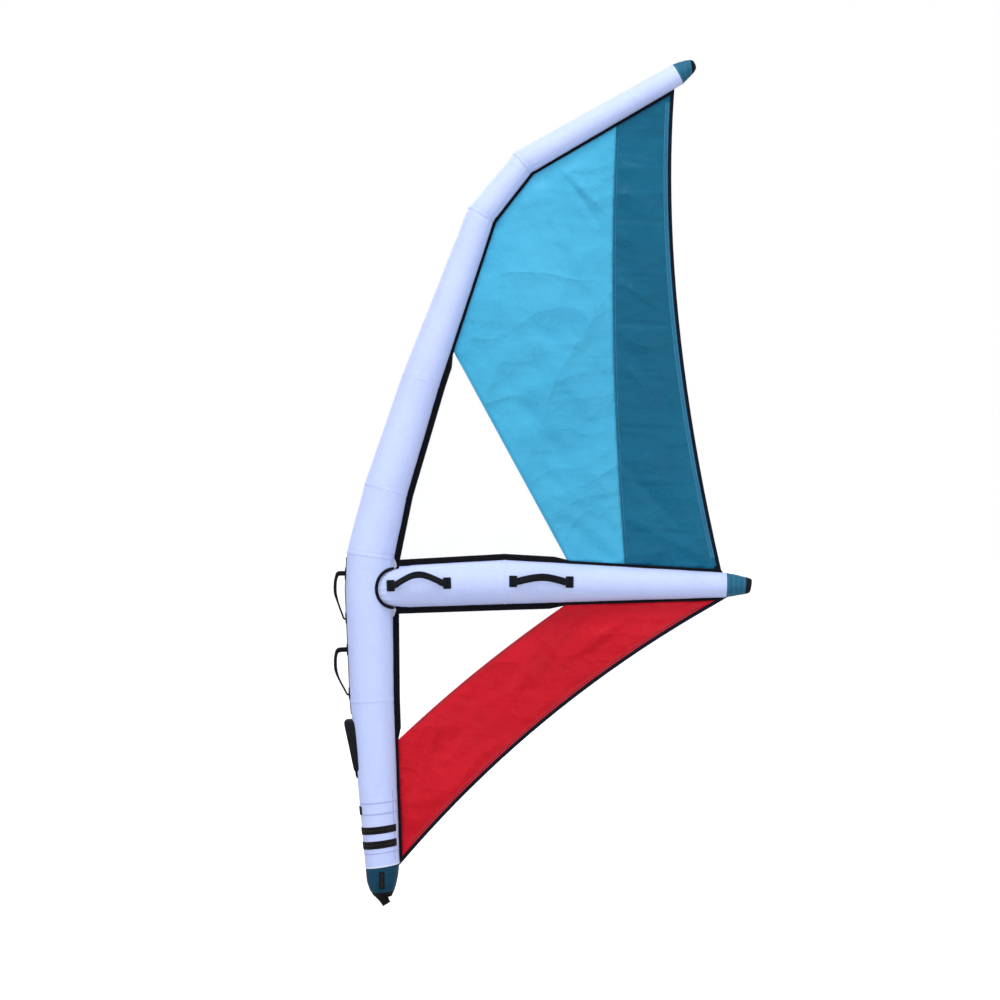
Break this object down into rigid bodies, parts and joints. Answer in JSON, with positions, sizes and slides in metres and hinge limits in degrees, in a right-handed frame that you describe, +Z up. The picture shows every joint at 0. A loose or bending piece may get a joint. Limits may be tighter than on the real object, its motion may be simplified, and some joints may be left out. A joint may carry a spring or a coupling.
{
  "type": "inflatable windsurf sail rig",
  "caption": "Inflatable windsurf rig with a bent air-filled mast and boom, a hollow-leech sewn sail, clear windows, webbing handles, uphaul loops and a universal mast foot.",
  "frame": {"origin": "centre of the flat face under the mast foot base disc", "axes": "+Z up along the mast, +X aft towards the clew, port side at -Y; the sail lies in the plane Y = 0"},
  "size_m": [1.5424, 0.296, 3.104],
  "materials": {
    "sleeve_white": "taut woven polyester sleeve cloth, satin",
    "bladder_film": "translucent TPU film",
    "hose": "satin",
    "cap_teal": "coated ballistic cloth",
    "rubber_black": "matte moulded rubber",
    "tape_black": "woven webbing tape",
    "binding_navy": "folded binding tape, stitched",
    "window_film": "clear flexible film",
    "sail_blue": "coated ripstop sailcloth",
    "sail_teal": "coated ripstop sailcloth",
    "sail_red": "coated ripstop sailcloth",
    "plastic_black": "moulded nylon",
    "steel": "stainless",
    "urethane": "cast urethane",
    "webbing_black": "woven nylon webbing, stitched"
  },
  "bodies": {
    "rig": {"boom_bladder": "bladder_film", "boom_bottom_tape": "tape_black", "boom_root_piping_port": "tape_black", "boom_root_piping_starboard": "tape_black", "boom_sleeve": "sleeve_white", "boom_top_tape": "tape_black", "boot_rim": "rubber_black", "boot_strap_port": "webbing_black", "boot_strap_starboard": "webbing_black", "clew_bumper": "rubber_black", "clew_cap": "cap_teal", "foot_band_lower": "webbing_black", "foot_band_upper": "webbing_black", "foot_boot": "cap_teal", "foot_plug": "plastic_black", "foot_tab": "webbing_black", "front_handle_port_tab_front": "webbing_black", "front_handle_port_tab_rear": "webbing_black", "front_handle_starboard_tab_front": "webbing_black", "front_handle_starboard_tab_rear": "webbing_black", "front_webbing": "webbing_black", "head_bumper": "rubber_black", "head_cap": "cap_teal", "lower_leech_binding": "binding_navy", "lower_luff_tape": "tape_black", "lower_panel": "sail_red", "lower_window": "window_film", "mast_bladder": "bladder_film", "mast_sleeve": "sleeve_white", "rear_handle_port_tab_front": "webbing_black", "rear_handle_port_tab_rear": "webbing_black", "rear_handle_starboard_tab_front": "webbing_black", "rear_handle_starboard_tab_rear": "webbing_black", "transfer_hose": "hose", "upper_leech_binding": "binding_navy", "upper_leech_panel": "sail_teal", "upper_luff_tape": "tape_black", "upper_main_panel": "sail_blue", "upper_window": "window_film", "valve_body": "plastic_black", "valve_flange": "rubber_black", "valve_spring": "steel"},
    "front_handle_port": {"front_handle_port_strap": "webbing_black"},
    "front_handle_starboard": {"front_handle_starboard_strap": "webbing_black"},
    "rear_handle_port": {"rear_handle_port_strap": "webbing_black"},
    "rear_handle_starboard": {"rear_handle_starboard_strap": "webbing_black"},
    "uphaul_upper": {"uphaul_loop_upper": "webbing_black"},
    "uphaul_lower": {"uphaul_loop_lower": "webbing_black"},
    "flap": {"valve_flap": "webbing_black"},
    "cap": {"valve_cap": "plastic_black"},
    "plunger": {"valve_plunger": "plastic_black"},
    "foot_link": {"foot_link": "urethane", "upper_pivot_pin": "steel"},
    "base_fork": {"base_fork": "plastic_black", "lower_pivot_pin": "steel"},
    "base_disc": {"base_disc": "rubber_black"}
  },
  "joints": [
    {"name": "front_handle_port_swing", "type": "hinge", "parent": "rig", "child": "front_handle_port", "pos_m": [0.01824, -0.09293, 1.16951], "axis": [0.999, 0.0046, 0.0444], "range_deg": [-37, 113]},
    {"name": "front_handle_starboard_swing", "type": "hinge", "parent": "rig", "child": "front_handle_starboard", "pos_m": [0.01824, 0.09293, 1.16951], "axis": [-0.999, 0.0046, -0.0444], "range_deg": [-37, 113]},
    {"name": "rear_handle_port_swing", "type": "hinge", "parent": "rig", "child": "rear_handle_port", "pos_m": [0.46442, -0.08969, 1.1849], "axis": [0.9989, 0.0439, -0.0136], "range_deg": [-56, 94]},
    {"name": "rear_handle_starboard_swing", "type": "hinge", "parent": "rig", "child": "rear_handle_starboard", "pos_m": [0.46442, 0.08969, 1.1849], "axis": [-0.9989, 0.0439, 0.0136], "range_deg": [-56, 94]},
    {"name": "uphaul_upper_swing", "type": "hinge", "parent": "rig", "child": "uphaul_upper", "pos_m": [-0.15967, 0, 1.21216], "axis": [0.0078, 0, -1], "range_deg": [-75, 75]},
    {"name": "uphaul_lower_swing", "type": "hinge", "parent": "rig", "child": "uphaul_lower", "pos_m": [-0.15274, 0, 0.93263], "axis": [0.0434, 0, -0.9991], "range_deg": [-75, 75]},
    {"name": "valve_flap_open", "type": "hinge", "parent": "rig", "child": "flap", "pos_m": [-0.11767, 0, 0.48364], "axis": [0, -1, 0], "range_deg": [0, 110]},
    {"name": "valve_cap_turn", "type": "hinge", "parent": "rig", "child": "cap", "pos_m": [-0.12216, 0, 0.62017], "axis": [-0.9958, 0, -0.0916], "range_deg": [0, 90]},
    {"name": "valve_plunger_push", "type": "slide", "parent": "rig", "child": "plunger", "axis": [0.9958, 0, 0.0916], "range_m": [0, 0.004], "stiffness_N_per_m": 300, "springref_m": -0.002, "deforming": ["valve_spring"]},
    {"name": "foot_pitch", "type": "hinge", "parent": "rig", "child": "foot_link", "pos_m": [-0.0155, 0, 0.02685], "axis": [0, 1, 0], "range_deg": [-25, 80]},
    {"name": "foot_roll", "type": "hinge", "parent": "foot_link", "child": "base_fork", "pos_m": [-0.007, 0, 0.01212], "axis": [0.866, 0, 0.5], "range_deg": [-45, 45]},
    {"name": "base_swivel", "type": "hinge", "parent": "base_fork", "child": "base_disc", "pos_m": [0, 0, 0], "axis": [-0.5, 0, 0.866], "continuous": true}
  ]
}
